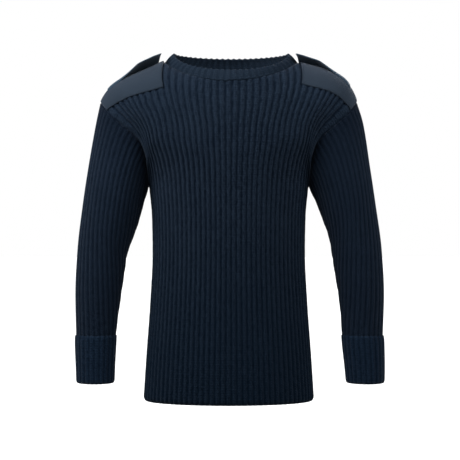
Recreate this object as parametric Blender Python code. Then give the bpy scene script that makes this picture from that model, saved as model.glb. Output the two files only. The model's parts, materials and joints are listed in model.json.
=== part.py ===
"""A commando sweater as it is worn: a hollow ribbed pullover with woven shoulder patches and straps.

Metres, +Z up. The origin lies between the shoulders, level with the neck seam at the side of the neck.
-Y is the front and +X is the wearer's left. Every piece is a wall between an outer and an inner face.
The tables give the outer face, at the top of the ribs, and the wall is built inwards from it.
"""

import math
from collections import namedtuple

import bmesh
import bpy
import numpy as np

# Knit and cloth
KNIT_WALL = 0.0018
RIB_HEIGHT = 0.0018
RIBBED_WALL = KNIT_WALL + RIB_HEIGHT
CLOTH_WALL = 0.0011
SEAM_GAP = 0.0003
PANEL_RIBS = 41
SLEEVE_RIBS = 40
CUFF_RIBS = 24
COLLAR_RIBS = 54

# Torso: one row for each section below the arms
TorsoSection = namedtuple("TorsoSection", "height half_width front back")
TORSO = (
    TorsoSection(-0.6950, 0.1755, 0.1160, 0.1090),
    TorsoSection(-0.5950, 0.1688, 0.1120, 0.1020),
    TorsoSection(-0.4950, 0.1615, 0.1070, 0.0950),
    TorsoSection(-0.3900, 0.1567, 0.1040, 0.0940),
    TorsoSection(-0.3200, 0.1580, 0.1040, 0.0980),
    TorsoSection(-0.2600, 0.1635, 0.1050, 0.1010),
)
UNDERARM = TORSO[-1]

# Torso above the underarm: at each share of the rise, how deep the middle of each panel stands, how many ribs
# the row still has, as the others have run out into the armholes, and how widely its middle ones are spread
ChestSection = namedtuple("ChestSection", "rise front back ribs spread")
CHEST = (
    ChestSection(0.00, UNDERARM.front, UNDERARM.back, 41, 1.300),
    ChestSection(0.20, 0.1075, 0.1045, 41, 1.350),
    ChestSection(0.40, 0.1090, 0.1060, 39, 1.335),
    ChestSection(0.60, 0.1075, 0.1035, 39, 1.300),
    ChestSection(0.80, 0.1040, 0.0990, 39, 1.190),
    ChestSection(1.00, 0.0960, 0.0860, 39, 1.034),
)
RISE_ROWS = (0.03, 0.10, 0.20, 0.31, 0.43, 0.56, 0.69, 0.80, 0.90, 0.972, 1.0)
STRAP_ROW = 0.972
# How fast the chest closes over to the shoulder, how suddenly the ribs crowd at their row's ends, and how sharply
# the wall turns in to the armhole at the underarm and on the shoulder
DOME_POWER = 3.0
SPREAD_POWER = 8.0
UNDERARM_POWER = 12.0
EDGE_POWER = 3.0
# Above this rise the chest is folded by the arms: partly an even curve, and the rest a flank near the seam
FOLD_RISE = 0.42
CHEST_ROUNDNESS = 0.35
FLANK_POWER = 5.0

# Armhole seam, seen from the front, underarm to shoulder point, with the half depth of the oval it lies on
ArmholePoint = namedtuple("ArmholePoint", "height reach depth")
ARMHOLE = (
    ArmholePoint(-0.2600, 0.1635, 0.044),
    ArmholePoint(-0.2450, 0.1642, 0.045),
    ArmholePoint(-0.2100, 0.1668, 0.048),
    ArmholePoint(-0.1780, 0.1750, 0.054),
    ArmholePoint(-0.1580, 0.1880, 0.060),
    ArmholePoint(-0.1410, 0.2070, 0.066),
    ArmholePoint(-0.1080, 0.2460, 0.072),
    ArmholePoint(-0.0890, 0.2635, 0.072),
)
ARMHOLE_CENTRE = (0.185, 0.0, -0.175)
ARMHOLE_ACROSS = (0.87, 0.0, -0.50)
ARMHOLE_GAP = 0.00045

# Shoulder ridge: how far it has dropped at each reach from the middle, on each side
ShoulderPoint = namedtuple("ShoulderPoint", "reach left right")
SHOULDER = (
    ShoulderPoint(0.1345, 0.0005, 0.0020),
    ShoulderPoint(0.1570, 0.0075, 0.0130),
    ShoulderPoint(0.1880, 0.0155, 0.0262),
    ShoulderPoint(0.2140, 0.0255, 0.0370),
    ShoulderPoint(0.2350, 0.0385, 0.0500),
    ShoulderPoint(0.2480, 0.0545, 0.0630),
    ShoulderPoint(0.2570, 0.0710, 0.0760),
    ShoulderPoint(0.2635, 0.0890, 0.0890),
)

# Neck seam and the top edge of the neckband
NECK_SHIFT = 0.0050
NECK_HALF_WIDTH = 0.1345
NECK_FRONT_DROP = 0.0450
NECK_BACK_DROP = 0.0100
NECK_ROUNDNESS = 1.5
NECK_UP_AT_SIDES = 0.86
NECK_UP_IN_MIDDLE = 0.50
BAND_HALF_WIDTH = 0.1166
BAND_TOP = 0.0144
BAND_FRONT = 0.0840
BAND_BACK = 0.0760
BAND_FRONT_DROP = 0.0410
BAND_BACK_DROP = 0.0040
BAND_ROUNDNESS = 0.95
BAND_BULGE = 0.0015
BAND_ROWS = (0.0, 0.35, 0.75, 1.0)
BAND_GAP = 0.00045
BAND_SIDE_GAP = 0.0007
BAND_SIDE_POWER = 6

# Sleeves, seen from the front: the outer and inner edge at each height, on each side
SleeveEdge = namedtuple("SleeveEdge", "height left right")
OUTER_EDGE = (
    SleeveEdge(-0.0890, 0.2635, 0.2635),
    SleeveEdge(-0.1296, 0.2755, 0.2720),
    SleeveEdge(-0.2157, 0.2888, 0.2870),
    SleeveEdge(-0.2900, 0.2997, 0.2980),
    SleeveEdge(-0.3880, 0.3124, 0.3091),
    SleeveEdge(-0.4740, 0.3167, 0.3130),
    SleeveEdge(-0.5615, 0.3139, 0.3110),
)
INNER_EDGE = (
    SleeveEdge(-0.2600, 0.1635, 0.1635),
    SleeveEdge(-0.3018, 0.1827, 0.1761),
    SleeveEdge(-0.3264, 0.1917, 0.1825),
    SleeveEdge(-0.3510, 0.2011, 0.1907),
    SleeveEdge(-0.3756, 0.2073, 0.1999),
    SleeveEdge(-0.4002, 0.2109, 0.2079),
    SleeveEdge(-0.4248, 0.2144, 0.2112),
    SleeveEdge(-0.4986, 0.2253, 0.2214),
    SleeveEdge(-0.5615, 0.2302, 0.2296),
)
SleeveSection = namedtuple("SleeveSection", "share front back ribs")
SLEEVE = (
    SleeveSection(0.00, 0.072, 0.072, 40.0),
    SleeveSection(0.05, 0.071, 0.070, 40.0),
    SleeveSection(0.12, 0.070, 0.068, 39.0),
    SleeveSection(0.21, 0.068, 0.064, 37.5),
    SleeveSection(0.32, 0.066, 0.059, 35.0),
    SleeveSection(0.44, 0.065, 0.053, 32.5),
    SleeveSection(0.56, 0.064, 0.046, 30.0),
    SleeveSection(0.70, 0.063, 0.036, 27.5),
    SleeveSection(0.85, 0.061, 0.026, 25.5),
    SleeveSection(1.00, 0.059, 0.019, 24.0),
)
# How far down its length the sleeve still follows the armhole seen from the front, and in its depth
CAP_SHARE = 0.36
SWELL_SHARE = 0.12

# Cuffs: a row for each ring, with the outer and inner edge on each side
CuffSection = namedtuple("CuffSection", "height outer_left inner_left outer_right inner_right")
CUFF = (
    CuffSection(-0.5618, 0.3158, 0.2290, 0.3132, 0.2280),
    CuffSection(-0.5720, 0.3172, 0.2296, 0.3138, 0.2284),
    CuffSection(-0.6280, 0.3182, 0.2356, 0.3118, 0.2314),
    CuffSection(-0.6590, 0.3178, 0.2385, 0.3108, 0.2324),
)
CUFF_FRONT = 0.061
CUFF_BACK = 0.019

# Shoulder patches and straps, counted in ribs from the middle of the panel
PatchSpan = namedtuple("PatchSpan", "side inner_rib")
PATCHES = {"left": PatchSpan(1, 10.5), "right": PatchSpan(-1, 9.5)}
PATCH_OUTER_RIB = 19.35
PatchEdge = namedtuple("PatchEdge", "rib left right")
PATCH_EDGE = (
    PatchEdge(9.5, 0.812, 0.772),
    PatchEdge(13.0, 0.804, 0.790),
    PatchEdge(16.0, 0.811, 0.801),
    PatchEdge(18.0, 0.838, 0.836),
    PatchEdge(19.35, 0.892, 0.892),
)
PatchRow = namedtuple("PatchRow", "rise least_step")
PATCH_ROWS = (PatchRow(0.80, 0.006), PatchRow(0.90, 0.015), PatchRow(0.972, 0.030))
# Straps: a row for each section, with how far the front edge has sprung up over the shoulder
StrapSection = namedtuple("StrapSection", "rib left_lift right_lift")
STRAP = (
    StrapSection(18, 0.0000, 0.0000),
    StrapSection(17, 0.0000, 0.0000),
    StrapSection(16, 0.0006, 0.0006),
    StrapSection(15, 0.0038, 0.0052),
    StrapSection(14, 0.0096, 0.0128),
    StrapSection(13, 0.0150, 0.0195),
    StrapSection(12, 0.0165, 0.0208),
    StrapSection(11, 0.0175, 0.0212),
    StrapSection(10, 0.0186, 0.0217),
)
STRAP_ROW_LIFTS = (1.0, 0.5, 0.0)
STRAP_END_SKEW = (0.004, 0.0, -0.006)

FRONT, BACK = -1, 1
SIDES = {"left": 1, "right": -1}

NAVY_KNIT = (0.012, 0.021, 0.036, 1.0)
NAVY_KNIT_DARK = (0.009, 0.016, 0.028, 1.0)
NAVY_CLOTH = (0.035, 0.051, 0.075, 1.0)
STRAP_CLOTH = (0.022, 0.034, 0.052, 1.0)
KNIT_ROUGHNESS = 0.92
CLOTH_ROUGHNESS = 0.80
SMOOTH_BELOW = math.radians(22)
CURVE_STEPS = 720


def clear_scene():
    for obj in list(bpy.data.objects):
        bpy.data.objects.remove(obj, do_unlink=True)


def cloth_material(name, colour, roughness=KNIT_ROUGHNESS):
    material = bpy.data.materials.new(name)
    material.use_nodes = True
    shader = material.node_tree.nodes["Principled BSDF"]
    shader.inputs["Base Color"].default_value = colour
    shader.inputs["Roughness"].default_value = roughness
    shader.inputs["Metallic"].default_value = 0.0
    material.diffuse_color = colour
    return material


def curve_through(places, values):
    """A smooth curve through a table's values, with no overshoot between its rows."""
    places = np.asarray(places, float)
    values = np.asarray(values, float)
    if places[0] > places[-1]:
        places, values = places[::-1], values[::-1]
    slopes = np.diff(values) / np.diff(places)
    tangents = np.zeros_like(values)
    tangents[0], tangents[-1] = slopes[0], slopes[-1]
    same_way = slopes[:-1] * slopes[1:] > 0
    mean = 2 * slopes[:-1] * slopes[1:] / np.where(same_way, slopes[:-1] + slopes[1:], 1)
    tangents[1:-1] = np.where(same_way, mean, 0)

    def value_at(place):
        place = np.clip(place, places[0], places[-1])
        k = np.clip(np.searchsorted(places, place) - 1, 0, len(places) - 2)
        width = places[k + 1] - places[k]
        t = (place - places[k]) / width
        rise = (3 - 2 * t) * t * t
        start = t * (1 - t) ** 2 * width
        end = t * t * (t - 1) * width
        return values[k] * (1 - rise) + values[k + 1] * rise + start * tangents[k] + end * tangents[k + 1]

    return value_at


def column_curve(table, place, column):
    return curve_through([getattr(row, place) for row in table], [getattr(row, column) for row in table])


ARMHOLE_REACH = column_curve(ARMHOLE, "height", "reach")
ARMHOLE_DEPTH = column_curve(ARMHOLE, "height", "depth")
CHEST_DEPTH = {FRONT: column_curve(CHEST, "rise", "front"), BACK: column_curve(CHEST, "rise", "back")}
CHEST_RIBS = column_curve(CHEST, "rise", "ribs")
CHEST_SPREAD = column_curve(CHEST, "rise", "spread")
SHOULDER_DROP = {side: column_curve(SHOULDER, "reach", side) for side in SIDES}


def smooth_step(value):
    value = np.clip(value, 0, 1)
    return value * value * (3 - 2 * value)


def unit(vectors):
    vectors = np.asarray(vectors, float)
    return vectors / np.maximum(np.linalg.norm(vectors, axis=-1, keepdims=True), 1e-12)


def level(vectors):
    """The same directions laid level, so that an end face is cut square."""
    return unit(np.asarray(vectors) * (1, 1, 0))


def even_shares(half_width, depth, shares):
    """Cosines of the angles that stand at even steps along half an ellipse, for shares from -1 to 1."""
    angles = np.linspace(0, math.pi, CURVE_STEPS + 1)
    steps = np.hypot(np.diff(half_width * np.cos(angles)), np.diff(depth * np.sin(angles)))
    length = np.concatenate([[0], np.cumsum(steps)])
    return np.cos(np.interp((1 - shares) / 2 * length[-1], length, angles))


# --- torso panels ---


def column_ribs():
    """The columns of a panel, in ribs from its middle to the wearer's left: each rib is a valley and a top."""
    return np.arange(-PANEL_RIBS, PANEL_RIBS + 1) / 2


def section_row(face, section, ribs):
    """A row of panel points on one section below the underarm."""
    depth = section.front if face == FRONT else section.back
    cosines = even_shares(section.half_width, depth, 2 * ribs / PANEL_RIBS)
    sines = np.sqrt(np.maximum(0, 1 - cosines**2))
    heights = np.full_like(cosines, section.height)
    return np.stack([section.half_width * cosines, face * depth * sines, heights], axis=-1)


def neck_share(x):
    """How far into the neck opening a point of the top edge lies: 0 at its sides and 1 in its middle."""
    t = (x - NECK_SHIFT) / NECK_HALF_WIDTH
    return np.maximum(0, 1 - t * t) ** (NECK_ROUNDNESS / 2)


def top_heights(face, x):
    """Heights of a panel's top edge: the shoulder ridges, and the neckline between them."""
    reach = np.abs(x)
    left, right = SHOULDER_DROP["left"](reach), SHOULDER_DROP["right"](reach)
    ridge = -np.where(x > 0, left, right)
    drop = NECK_FRONT_DROP if face == FRONT else NECK_BACK_DROP
    return ridge - drop * neck_share(x)


def chest_shares(rise, ribs):
    """Ribs from the middle as shares of half a row. Ribs past the armhole's seam stand in it."""
    return np.clip(2 * ribs / CHEST_RIBS(rise), -1, 1)


def rib_spread(shares, spread):
    """Where ribs stand across a row: spread times as wide as even ones in the middle, and crowded by the arms."""
    crowding = spread**SPREAD_POWER - 1
    return spread * shares / (1 + crowding * np.abs(shares) ** SPREAD_POWER) ** (1 / SPREAD_POWER)


def chest_row(face, rise, ribs):
    """A row of panel points between the underarm (rise 0) and the shoulder and neckline (rise 1)."""
    edge_height = UNDERARM.height + rise * (ARMHOLE[-1].height - UNDERARM.height)
    edge_reach = ARMHOLE_REACH(edge_height)
    edge_depth = ARMHOLE_DEPTH(edge_height) * math.sqrt(max(0, 1 - (2 * rise - 1) ** 2))
    depth = CHEST_DEPTH[face](rise)
    folded = smooth_step(rise / FOLD_RISE)
    shares = chest_shares(rise, ribs)
    even = even_shares(edge_reach, depth, shares)
    across = even + (rib_spread(shares, CHEST_SPREAD(rise)) - even) * folded
    edge = edge_depth * np.abs(across) ** UNDERARM_POWER
    round_chest = np.hypot(depth * np.sqrt(np.maximum(0, 1 - across**2)), edge)
    turned = CHEST_ROUNDNESS * across**2 + (1 - CHEST_ROUNDNESS) * np.abs(shares) ** FLANK_POWER
    folded_chest = depth + (edge_depth - depth) * turned
    chest = round_chest + (folded_chest - round_chest) * folded
    top_x = ARMHOLE[-1].reach * rib_spread(chest_shares(1.0, ribs), CHEST_SPREAD(1.0))
    heights = UNDERARM.height + rise * (top_heights(face, top_x) - UNDERARM.height)
    dome = math.sqrt(max(0, 1 - rise**DOME_POWER))
    top_edge = np.maximum(depth * neck_share(top_x), edge_depth * np.abs(across) ** EDGE_POWER)
    depths = dome * chest + (1 - dome) * top_edge
    return np.stack([edge_reach * across, face * depths, heights], axis=-1)


def panel_points(face):
    """The outer face of the front or back panel: a row for each section, a column for each valley and rib top."""
    ribs = column_ribs()
    rows = [section_row(face, section, ribs) for section in TORSO]
    rows += [chest_row(face, rise, ribs) for rise in RISE_ROWS]
    points = np.array(rows)
    points[..., 1] += face * SEAM_GAP / 2
    return points


def panel_columns():
    """The column that stands for each point of a panel, as the outer ribs run out into the armholes."""
    ribs = np.abs(column_ribs())
    columns = np.arange(len(ribs))
    edges = np.where(columns < PANEL_RIBS, 0, columns[-1])
    rows = [columns] * len(TORSO)
    rows += [np.where(2 * ribs < CHEST_RIBS(rise) - 1e-9, columns, edges) for rise in RISE_ROWS]
    return np.array(rows)


def neck_inwards(x, face):
    """The way through the wall at the neck seam, halfway between the panel's and the band's."""
    t = np.clip((x - NECK_SHIFT) / NECK_HALF_WIDTH, -1, 1)
    middle = np.sqrt(1 - t * t)
    up = NECK_UP_AT_SIDES + (NECK_UP_IN_MIDDLE - NECK_UP_AT_SIDES) * middle
    out = np.sqrt(1 - up**2)
    return -np.stack([out * t, face * out * middle, up], axis=-1)


def panel_inwards(face, points):
    """The way through the wall at every point, shared with the neighbour at each seam."""
    across = np.gradient(points, axis=1)
    along = np.gradient(points, axis=0)
    inwards = unit(np.cross(across, along) * face)
    inwards[: len(TORSO), 0] = (1, 0, 0)
    inwards[: len(TORSO), -1] = (-1, 0, 0)
    for edge, side in ((0, -1), (-1, 1)):
        centre = np.array(ARMHOLE_CENTRE) * (side, 1, 1)
        inwards[len(TORSO) - 1 :, edge] = unit(centre - points[len(TORSO) - 1 :, edge])
    top = points[-1]
    ridge = unit(np.gradient(top, axis=0))
    in_neck = np.abs(top[:, 0] - NECK_SHIFT) < NECK_HALF_WIDTH
    over_shoulder = np.stack([ridge[:, 2], 0 * ridge[:, 2], -ridge[:, 0]], axis=-1)
    top_inwards = np.where(in_neck[:, None], neck_inwards(top[:, 0], face), unit(over_shoulder))
    inwards[-1, 1:-1] = top_inwards[1:-1]
    inwards[0] = level(inwards[0])
    return inwards


def build_panel(name, face, points, material):
    return add_wall(name, points, panel_inwards(face, points), material, columns=panel_columns())


# --- walls ---


def add_wall(name, points, inwards, material, closed=False, columns=None):
    """One ribbed wall. Odd columns are rib tops, even ones valleys, and the inside has the even ones alone.

    columns names the column whose point stands for each point, where some ribs have run out into a seam.
    """
    row_count, column_count = points.shape[:2]
    if columns is None:
        columns = np.tile(np.arange(column_count), (row_count, 1))
    mesh = bmesh.new()
    made = {}

    def vertex(layer, i, j):
        column = int(columns[i, j % column_count])
        key = (layer, i, column)
        if key not in made:
            depth = RIBBED_WALL if layer == "inner" else RIB_HEIGHT * (column % 2 == 0)
            made[key] = mesh.verts.new(points[i, column] + inwards[i, column] * depth)
        return made[key]

    def face(corners):
        corners = list(dict.fromkeys(vertex(*corner) for corner in corners))
        if len(corners) > 2:
            mesh.faces.new(corners)

    last = column_count if closed else column_count - 1
    for i in range(row_count - 1):
        for j in range(last):
            face([("outer", i, j), ("outer", i, j + 1), ("outer", i + 1, j + 1), ("outer", i + 1, j)])
        for j in range(0, last, 2):
            face([("inner", i, j), ("inner", i + 1, j), ("inner", i + 1, j + 2), ("inner", i, j + 2)])
        if not closed:
            for j in (0, last):
                face([("outer", i, j), ("outer", i + 1, j), ("inner", i + 1, j), ("inner", i, j)])
    for i in (0, row_count - 1):
        for j in range(0, last, 2):
            outer = [("outer", i, j + k) for k in range(3)]
            face(outer + [("inner", i, j + 2), ("inner", i, j)])
    return finish_mesh(name, mesh, material)


def finish_mesh(name, mesh, material):
    bmesh.ops.recalc_face_normals(mesh, faces=mesh.faces)
    bmesh.ops.triangulate(mesh, faces=mesh.faces)
    data = bpy.data.meshes.new(name)
    mesh.to_mesh(data)
    mesh.free()
    data.materials.append(material)
    data.shade_smooth()
    data.set_sharp_from_angle(angle=SMOOTH_BELOW)
    obj = bpy.data.objects.new(name, data)
    bpy.context.scene.collection.objects.link(obj)
    return obj


def add_cloth_sheet(name, points, material):
    """A woven piece that lies on its points: a grid thickened outwards by Solidify."""
    mesh = bmesh.new()
    grid = [[mesh.verts.new(point) for point in row] for row in points]
    for lower, upper in zip(grid, grid[1:]):
        for j in range(len(lower) - 1):
            mesh.faces.new((lower[j], lower[j + 1], upper[j + 1], upper[j]))
    data = bpy.data.meshes.new(name)
    mesh.to_mesh(data)
    mesh.free()
    data.materials.append(material)
    data.shade_smooth()
    obj = bpy.data.objects.new(name, data)
    bpy.context.scene.collection.objects.link(obj)
    thicken = obj.modifiers.new("Cloth", "SOLIDIFY")
    thicken.thickness = CLOTH_WALL
    thicken.offset = 1.0
    return obj


# --- sleeves and cuffs ---


def armhole_loop(side, front, back):
    """The armhole seam's corners from the underarm over the back to the shoulder, then down the front."""
    edge = -1 if side > 0 else 0
    start = len(TORSO) - 1
    up_the_back = back[start:, edge]
    down_the_front = front[start:, edge][::-1]
    return np.concatenate([up_the_back[:-1], down_the_front])


def loop_points(corners, count):
    """Evenly spaced points on the loop, with every corner among them, so that the seam's two sides match."""
    length = np.concatenate([[0], np.cumsum(np.linalg.norm(np.diff(corners, axis=0), axis=1))])
    places = np.round(length / length[-1] * count).astype(int)
    for k in range(1, len(places)):
        places[k] = max(places[k], places[k - 1] + 1)
    for k in range(len(places) - 2, -1, -1):
        places[k] = min(places[k], places[k + 1] - 1)
    steps = np.arange(count + 1)
    return np.stack([np.interp(steps, places, corners[:, axis]) for axis in range(3)], axis=-1)


def ellipse_ring(side, outer, inner, front, back, angles):
    """A ring through an outer and an inner point (x, z), with its depth in front and behind."""
    outer, inner = np.asarray(outer), np.asarray(inner)
    middle, half = (outer + inner) / 2, (outer - inner) / 2
    plan = middle + np.cos(angles)[:, None] * half
    y = (back - front) / 2 - (back + front) / 2 * np.sin(angles)
    return np.stack([side * plan[:, 0], y, plan[:, 1]], axis=-1)


def sleeve_points(side_name, loop):
    """Rows of points down the sleeve, and the column that stands for each: outer ribs run out into the seam."""
    side = SIDES[side_name]
    outer_edge = column_curve(OUTER_EDGE, "height", side_name)
    inner_edge = column_curve(INNER_EDGE, "height", side_name)
    count = 2 * SLEEVE_RIBS
    ribs_from_top = (np.arange(count) - SLEEVE_RIBS) / 2
    rows, columns = [], []
    for section in SLEEVE:
        heights = [
            edge[0].height + section.share * (edge[-1].height - edge[0].height)
            for edge in (OUTER_EDGE, INNER_EDGE)
        ]
        outer = (outer_edge(heights[0]), heights[0])
        inner = (inner_edge(heights[1]), heights[1])
        turn = np.clip(ribs_from_top / (section.ribs / 2), -1, 1)
        ring = ellipse_ring(side, outer, inner, section.front, section.back, math.pi * turn)
        if section.share == 0:
            from_ellipse = loop[:-1] - ring
        cap = max(0, 1 - section.share / CAP_SHARE) ** 2
        swell = max(0, 1 - section.share / SWELL_SHARE) ** 2
        whole = np.interp(turn, ribs_from_top / (SLEEVE_RIBS / 2), np.arange(count))
        offset = np.stack([np.interp(whole, np.arange(count), from_ellipse[:, k]) for k in range(3)], axis=-1)
        rows.append(ring + offset * (cap, swell, cap))
        columns.append(np.where(np.abs(turn) < 1 - 1e-9, np.arange(count), 0))
    return np.array(rows), np.array(columns)


def tube_inwards(points):
    across = (np.roll(points, -1, axis=1) - np.roll(points, 1, axis=1)) / 2
    along = np.gradient(points, axis=0)
    towards = points.mean(axis=1, keepdims=True) - points
    inwards = unit(np.cross(along, across))
    flip = np.sign(np.sum(inwards * towards, axis=-1, keepdims=True))
    return inwards * np.where(flip == 0, 1, flip)


def build_sleeve(side_name, front, back, material):
    side = SIDES[side_name]
    corners = armhole_loop(side, front, back)
    loop = loop_points(corners, 2 * SLEEVE_RIBS)
    points, columns = sleeve_points(side_name, loop)
    inwards = tube_inwards(points)
    centre = np.array(ARMHOLE_CENTRE) * (side, 1, 1)
    inwards[0] = unit(centre - points[0])
    for i in range(len(points)):
        towards = unit(points[i].mean(axis=0) - points[i, 0])
        inwards[i, 0] = towards if i else inwards[0, 0]
    inwards[-1] = level(inwards[-1])
    points = points + np.array(ARMHOLE_ACROSS) * (side, 1, 1) * ARMHOLE_GAP
    return add_wall(f"sleeve_{side_name}", points, inwards, material, closed=True, columns=columns)


def build_cuff(side_name, material):
    side = SIDES[side_name]
    angles = math.pi * (np.arange(2 * CUFF_RIBS) / CUFF_RIBS - 1)
    rows = []
    for section in CUFF:
        outer = (getattr(section, f"outer_{side_name}"), section.height)
        inner = (getattr(section, f"inner_{side_name}"), section.height)
        rows.append(ellipse_ring(side, outer, inner, CUFF_FRONT, CUFF_BACK, angles))
    points = np.array(rows)
    return add_wall(f"cuff_{side_name}", points, level(tube_inwards(points)), material, closed=True)


# --- neckband ---


def band_edges(face, angle):
    """The neck seam and the band's top edge at an angle from the wearer's left side."""
    middle = abs(math.sin(angle))
    x = NECK_SHIFT + NECK_HALF_WIDTH * math.cos(angle)
    depth = CHEST_DEPTH[face](1.0) * middle**NECK_ROUNDNESS
    height = float(top_heights(face, np.array([x]))[0])
    seam = (x, face * depth, height)
    top_drop = BAND_FRONT_DROP if face == FRONT else BAND_BACK_DROP
    top_depth = BAND_FRONT if face == FRONT else BAND_BACK
    top = (
        NECK_SHIFT + BAND_HALF_WIDTH * math.cos(angle),
        face * top_depth * middle,
        BAND_TOP - top_drop * middle**BAND_ROUNDNESS,
    )
    return np.array(seam), np.array(top)


def build_collar(material):
    angles = np.linspace(0, 2 * math.pi, 2 * CURVE_STEPS + 1)
    edges = [band_edges(BACK if angle < math.pi else FRONT, angle) for angle in angles]
    seams = np.array([seam for seam, _ in edges])
    tops = np.array([top for _, top in edges])
    length = np.concatenate([[0], np.cumsum(np.linalg.norm(np.diff(tops, axis=0), axis=1))])
    places = np.linspace(0, length[-1], 2 * COLLAR_RIBS + 1)[:-1]
    even = np.interp(places, length, angles)
    seam = np.stack([np.interp(even, angles, seams[:, k]) for k in range(3)], axis=-1)
    top = np.stack([np.interp(even, angles, tops[:, k]) for k in range(3)], axis=-1)
    face = np.where(even < math.pi, BACK, FRONT)
    at_seam = neck_inwards(seam[:, 0], face)
    seam[:, 2] += BAND_GAP + BAND_SIDE_GAP * np.abs(np.cos(even)) ** BAND_SIDE_POWER
    rows = []
    for share in BAND_ROWS:
        bulge = -at_seam * BAND_BULGE * math.sin(math.pi * share)
        rows.append(seam + (top - seam) * share + bulge)
    points = np.array(rows)
    inwards = tube_inwards(points)
    inwards[0] = at_seam
    return add_wall("collar", points, inwards, material, closed=True)


# --- shoulder patches and straps ---


def panel_at(face, rises, ribs):
    """Points on a panel's own facets, and outward directions, at some rises and ribs from the middle."""
    points = panel_points(face)
    outwards = -panel_inwards(face, points)
    start = len(TORSO)
    row = np.interp(rises, RISE_ROWS, np.arange(start, start + len(RISE_ROWS)))
    column = PANEL_RIBS + 2 * np.asarray(ribs, float)
    i = np.clip(np.floor(row).astype(int), 0, len(points) - 2)
    j = np.clip(np.floor(column).astype(int), 0, 2 * PANEL_RIBS - 1)
    up, along = (row - i)[:, None], (column - j)[:, None]

    def read(grid):
        lower = grid[i, j] * (1 - along) + grid[i, j + 1] * along
        upper = grid[i + 1, j] * (1 - along) + grid[i + 1, j + 1] * along
        return lower * (1 - up) + upper * up

    return read(points), unit(read(outwards))


def over_the_shoulder(rise_rows, ribs):
    """Rows of points and outward directions from the front, over the ridge, down the back."""
    ribs = np.asarray(ribs, float)
    ridge = np.ones(len(ribs))
    rows = [panel_at(FRONT, rises, ribs) for rises in rise_rows]
    front_top, outward_front = panel_at(FRONT, ridge, ribs)
    back_top, outward_back = panel_at(BACK, ridge, ribs)
    rows.append(((front_top + back_top) / 2, unit(outward_front + outward_back)))
    rows += [panel_at(BACK, rises, ribs) for rises in reversed(rise_rows)]
    return np.array([point for point, _ in rows]), np.array([outward for _, outward in rows])


def build_patch(side_name, material):
    span = PATCHES[side_name]
    whole_ribs = np.arange(math.ceil(span.inner_rib), math.floor(PATCH_OUTER_RIB) + 1)
    from_middle = np.concatenate([[span.inner_rib], whole_ribs, [PATCH_OUTER_RIB]])
    ribs = span.side * from_middle
    lower_edge = column_curve(PATCH_EDGE, "rib", side_name)(from_middle)
    rise_rows = [lower_edge]
    rise_rows += [np.maximum(rise, lower_edge + step) for rise, step in PATCH_ROWS]
    points, outwards = over_the_shoulder(rise_rows, ribs)
    if span.side < 0:
        points, outwards = points[:, ::-1], outwards[:, ::-1]
    return add_cloth_sheet(f"shoulder_patch_{side_name}", points + outwards * SEAM_GAP, material)


def build_strap(side_name, material):
    side = SIDES[side_name]
    ribs = side * np.array([row.rib for row in STRAP])
    lifts = np.array([getattr(row, f"{side_name}_lift") for row in STRAP])
    points, outwards = over_the_shoulder([np.full(len(ribs), STRAP_ROW)], ribs)
    above_patch = 2 * SEAM_GAP + CLOTH_WALL
    points = points + outwards * above_patch
    for row, (share, skew) in enumerate(zip(STRAP_ROW_LIFTS, STRAP_END_SKEW)):
        points[row, :, 2] += lifts * share
        points[row, -1, 0] -= side * skew
    if side > 0:
        points = points[:, ::-1]
    return add_cloth_sheet(f"epaulette_{side_name}", points, material)


def main():
    clear_scene()
    sweater = bpy.data.objects.new("sweater", None)
    bpy.context.scene.collection.objects.link(sweater)
    front, back = panel_points(FRONT), panel_points(BACK)
    pieces = [
        build_panel("front", FRONT, front, cloth_material("Front knit", NAVY_KNIT)),
        build_panel("back", BACK, back, cloth_material("Back knit", NAVY_KNIT)),
        build_collar(cloth_material("Collar knit", NAVY_KNIT_DARK)),
    ]
    for side_name in SIDES:
        sleeve_knit = cloth_material(f"Sleeve knit {side_name}", NAVY_KNIT_DARK)
        cuff_knit = cloth_material(f"Cuff knit {side_name}", NAVY_KNIT)
        patch_cloth = cloth_material(f"Patch cloth {side_name}", NAVY_CLOTH, CLOTH_ROUGHNESS)
        strap_cloth = cloth_material(f"Strap cloth {side_name}", STRAP_CLOTH, CLOTH_ROUGHNESS)
        pieces += [
            build_sleeve(side_name, front, back, sleeve_knit),
            build_cuff(side_name, cuff_knit),
            build_patch(side_name, patch_cloth),
            build_strap(side_name, strap_cloth),
        ]
    for piece in pieces:
        piece.parent = sweater


main()
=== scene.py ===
"""The looks of a commando sweater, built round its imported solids.

Metres, +Z up, -Y the front, +X the wearer's left, and the same frame and tables as the solids.
Every knitted piece is a fine ribbed shell on its solid's form, with a rib count and a length in its UV map,
from which the knit material draws the stitches. The patches and straps are woven sheets with sewn edges.
"""

import json
import math
from collections import namedtuple

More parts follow.
